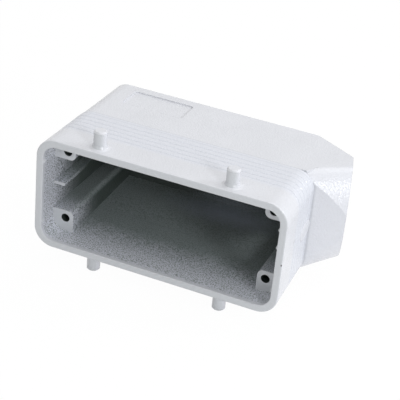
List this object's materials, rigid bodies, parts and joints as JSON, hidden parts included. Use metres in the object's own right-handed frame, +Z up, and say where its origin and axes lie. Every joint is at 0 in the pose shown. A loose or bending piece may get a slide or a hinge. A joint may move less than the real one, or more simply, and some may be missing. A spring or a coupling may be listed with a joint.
{
  "type": "heavy duty rectangular connector hood",
  "caption": "Low die-cast hood of a heavy duty rectangular connector, with an angled side cable outlet and four locking pegs.",
  "frame": {"origin": "centre of the mouth, in the plane of its rim", "axes": "+X along the mouth towards the cable outlet, +Y from the mouth into the hood, +Z up, square to the long walls"},
  "size_m": [0.1043, 0.0587, 0.056],
  "materials": {
    "powder_coat": "light grey fine textured powder coat on die-cast aluminium"
  },
  "bodies": {
    "root": {"hood_casting": "powder_coat"}
  },
  "joints": []
}
